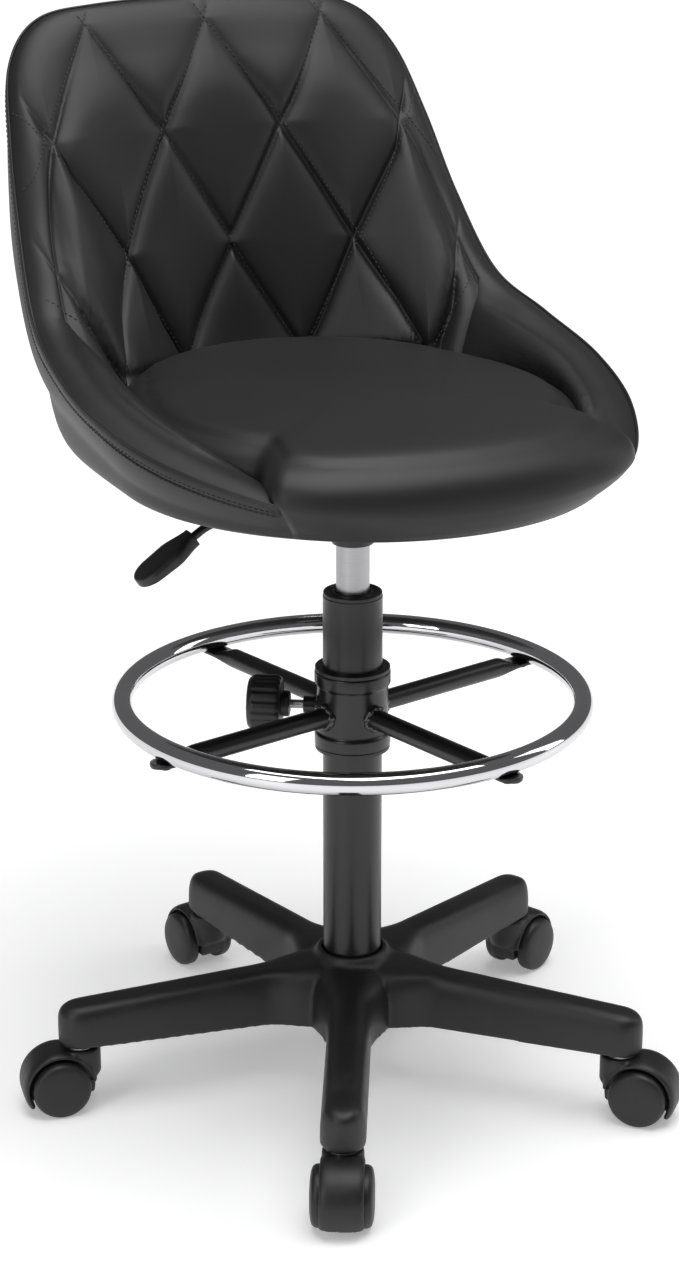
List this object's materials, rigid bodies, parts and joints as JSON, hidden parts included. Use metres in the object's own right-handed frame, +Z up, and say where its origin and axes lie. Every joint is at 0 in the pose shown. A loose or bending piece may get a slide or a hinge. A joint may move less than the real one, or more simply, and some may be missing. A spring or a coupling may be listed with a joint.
{
  "type": "drafting chair",
  "caption": "Bucket-seat drafting chair with quilted back, gas lift, clamped chrome foot ring and a star base on twin-wheel castors.",
  "frame": {"origin": "on the floor, on the axis of the column", "axes": "+Z up the column, the seat faces -Y, +X is the sitter's left"},
  "size_m": [0.5629, 0.5879, 0.8935],
  "materials": {
    "nylon": "fine matt spark texture, slight sheen on edges",
    "bushing": "smooth acetal",
    "black_steel": "satin black powder coat",
    "satin_steel": "satin ground steel",
    "zinc_steel": "bright zinc plate",
    "chrome": "mirror chrome plate",
    "bump_rubber": "moulded rubber",
    "pin_brass": "turned brass",
    "moulded_ply": "bare moulded plywood",
    "leather": "black coated leather with fine grain and a soft sheen"
  },
  "bodies": {
    "base": {"star_base": "nylon", "stem_sockets": "zinc_steel", "stand_tube": "black_steel", "guide_bush": "bushing", "thrust_bearing": "zinc_steel"},
    "rod": {"piston_rod": "satin_steel", "bump_stop": "bump_rubber", "rod_clip": "zinc_steel"},
    "seat": {"gas_cylinder": "satin_steel", "seat_plate": "black_steel", "socket_cone": "black_steel", "lever_bush": "bushing", "plate_bolts": "zinc_steel", "tee_nuts": "zinc_steel", "bucket_shell": "moulded_ply", "outer_cover": "leather", "seat_cushion": "leather", "back_pad": "leather", "wing_pad_left": "leather", "wing_pad_right": "leather", "rim_band": "leather"},
    "lever": {"lever_rod": "black_steel", "lever_paddle": "nylon"},
    "pin": {"release_pin": "pin_brass"},
    "liners": {"ring_liners": "bushing"},
    "footring": {"footring_collar": "black_steel", "footring_spokes": "black_steel", "footring_ring": "chrome", "footring_screws": "black_steel", "clamp_nut": "black_steel"},
    "shoe": {"clamp_shoe": "bushing"},
    "knob": {"clamp_stud": "zinc_steel", "clamp_knob": "nylon"},
    "castor_1": {"castor_1_hood": "nylon", "castor_1_stem": "zinc_steel", "castor_1_axle": "zinc_steel"},
    "castor_1_wheel_a": {"castor_1_wheel_a": "nylon"},
    "castor_1_wheel_b": {"castor_1_wheel_b": "nylon"},
    "castor_2": {"castor_2_hood": "nylon", "castor_2_stem": "zinc_steel", "castor_2_axle": "zinc_steel"},
    "castor_2_wheel_a": {"castor_2_wheel_a": "nylon"},
    "castor_2_wheel_b": {"castor_2_wheel_b": "nylon"},
    "castor_3": {"castor_3_hood": "nylon", "castor_3_stem": "zinc_steel", "castor_3_axle": "zinc_steel"},
    "castor_3_wheel_a": {"castor_3_wheel_a": "nylon"},
    "castor_3_wheel_b": {"castor_3_wheel_b": "nylon"},
    "castor_4": {"castor_4_hood": "nylon", "castor_4_stem": "zinc_steel", "castor_4_axle": "zinc_steel"},
    "castor_4_wheel_a": {"castor_4_wheel_a": "nylon"},
    "castor_4_wheel_b": {"castor_4_wheel_b": "nylon"},
    "castor_5": {"castor_5_hood": "nylon", "castor_5_stem": "zinc_steel", "castor_5_axle": "zinc_steel"},
    "castor_5_wheel_a": {"castor_5_wheel_a": "nylon"},
    "castor_5_wheel_b": {"castor_5_wheel_b": "nylon"}
  },
  "joints": [
    {"name": "seat_swivel", "type": "hinge", "parent": "base", "child": "rod", "pos_m": [0, 0, 0.1], "axis": [0, 0, 1], "continuous": true},
    {"name": "seat_height", "type": "slide", "parent": "rod", "child": "seat", "axis": [0, 0, 1], "range_m": [-0.03, 0.17]},
    {"name": "lever_rock", "type": "hinge", "parent": "seat", "child": "lever", "pos_m": [-0.034, 0, 0.517], "axis": [0, 1, 0], "range_deg": [0, 6], "stiffness_Nm_per_rad": 2, "springref_deg": -6.88},
    {"name": "pin_travel", "type": "slide", "parent": "seat", "child": "pin", "axis": [0, 0, 1], "range_m": [-0.0046, 0]},
    {"name": "footring_height", "type": "slide", "parent": "base", "child": "liners", "axis": [0, 0, 1], "range_m": [-0.15, 0.045]},
    {"name": "footring_turn", "type": "hinge", "parent": "liners", "child": "footring", "pos_m": [0, 0, 0.347], "axis": [0, 0, 1], "continuous": true},
    {"name": "clamp_feed", "type": "slide", "parent": "footring", "child": "shoe", "axis": [-0.848, 0.5299, 0], "range_m": [0, 0.0025]},
    {"name": "clamp_turn", "type": "hinge", "parent": "shoe", "child": "knob", "pos_m": [-0.05088, 0.03179, 0.339], "axis": [-0.848, 0.5299, 0], "range_deg": [0, 720]},
    {"name": "castor_1_swivel", "type": "hinge", "parent": "base", "child": "castor_1", "pos_m": [-0.11314, -0.21279, 0.06], "axis": [0, 0, 1], "continuous": true},
    {"name": "castor_1_spin_a", "type": "hinge", "parent": "castor_1", "child": "castor_1_wheel_a", "pos_m": [-0.12253, -0.23045, 0.025], "axis": [0.8829, -0.4695, 0], "continuous": true},
    {"name": "castor_1_spin_b", "type": "hinge", "parent": "castor_1", "child": "castor_1_wheel_b", "pos_m": [-0.12253, -0.23045, 0.025], "axis": [0.8829, -0.4695, 0], "continuous": true},
    {"name": "castor_2_swivel", "type": "hinge", "parent": "base", "child": "castor_2", "pos_m": [0.16741, -0.17336, 0.06], "axis": [0, 0, 1], "continuous": true},
    {"name": "castor_2_spin_a", "type": "hinge", "parent": "castor_2", "child": "castor_2_wheel_a", "pos_m": [0.18131, -0.18775, 0.025], "axis": [0.7193, 0.6947, 0], "continuous": true},
    {"name": "castor_2_spin_b", "type": "hinge", "parent": "castor_2", "child": "castor_2_wheel_b", "pos_m": [0.18131, -0.18775, 0.025], "axis": [0.7193, 0.6947, 0], "continuous": true},
    {"name": "castor_3_swivel", "type": "hinge", "parent": "base", "child": "castor_3", "pos_m": [0.21661, 0.10565, 0.06], "axis": [0, 0, 1], "continuous": true},
    {"name": "castor_3_spin_a", "type": "hinge", "parent": "castor_3", "child": "castor_3_wheel_a", "pos_m": [0.23458, 0.11442, 0.025], "axis": [-0.4384, 0.8988, 0], "continuous": true},
    {"name": "castor_3_spin_b", "type": "hinge", "parent": "castor_3", "child": "castor_3_wheel_b", "pos_m": [0.23458, 0.11442, 0.025], "axis": [-0.4384, 0.8988, 0], "continuous": true},
    {"name": "castor_4_swivel", "type": "hinge", "parent": "base", "child": "castor_4", "pos_m": [-0.03354, 0.23866, 0.06], "axis": [0, 0, 1], "continuous": true},
    {"name": "castor_4_spin_a", "type": "hinge", "parent": "castor_4", "child": "castor_4_wheel_a", "pos_m": [-0.03632, 0.25846, 0.025], "axis": [-0.9903, -0.1392, 0], "continuous": true},
    {"name": "castor_4_spin_b", "type": "hinge", "parent": "castor_4", "child": "castor_4_wheel_b", "pos_m": [-0.03632, 0.25846, 0.025], "axis": [-0.9903, -0.1392, 0], "continuous": true},
    {"name": "castor_5_swivel", "type": "hinge", "parent": "base", "child": "castor_5", "pos_m": [-0.23734, 0.04185, 0.06], "axis": [0, 0, 1], "continuous": true},
    {"name": "castor_5_spin_a", "type": "hinge", "parent": "castor_5", "child": "castor_5_wheel_a", "pos_m": [-0.25704, 0.04532, 0.025], "axis": [-0.1736, -0.9848, 0], "continuous": true},
    {"name": "castor_5_spin_b", "type": "hinge", "parent": "castor_5", "child": "castor_5_wheel_b", "pos_m": [-0.25704, 0.04532, 0.025], "axis": [-0.1736, -0.9848, 0], "continuous": true}
  ],
  "couplings": [
    {"joint": "pin_travel", "follows": "lever_rock", "m_per_rad": -0.036},
    {"joint": "clamp_turn", "follows": "clamp_feed", "rad_per_m": 5026.5}
  ]
}
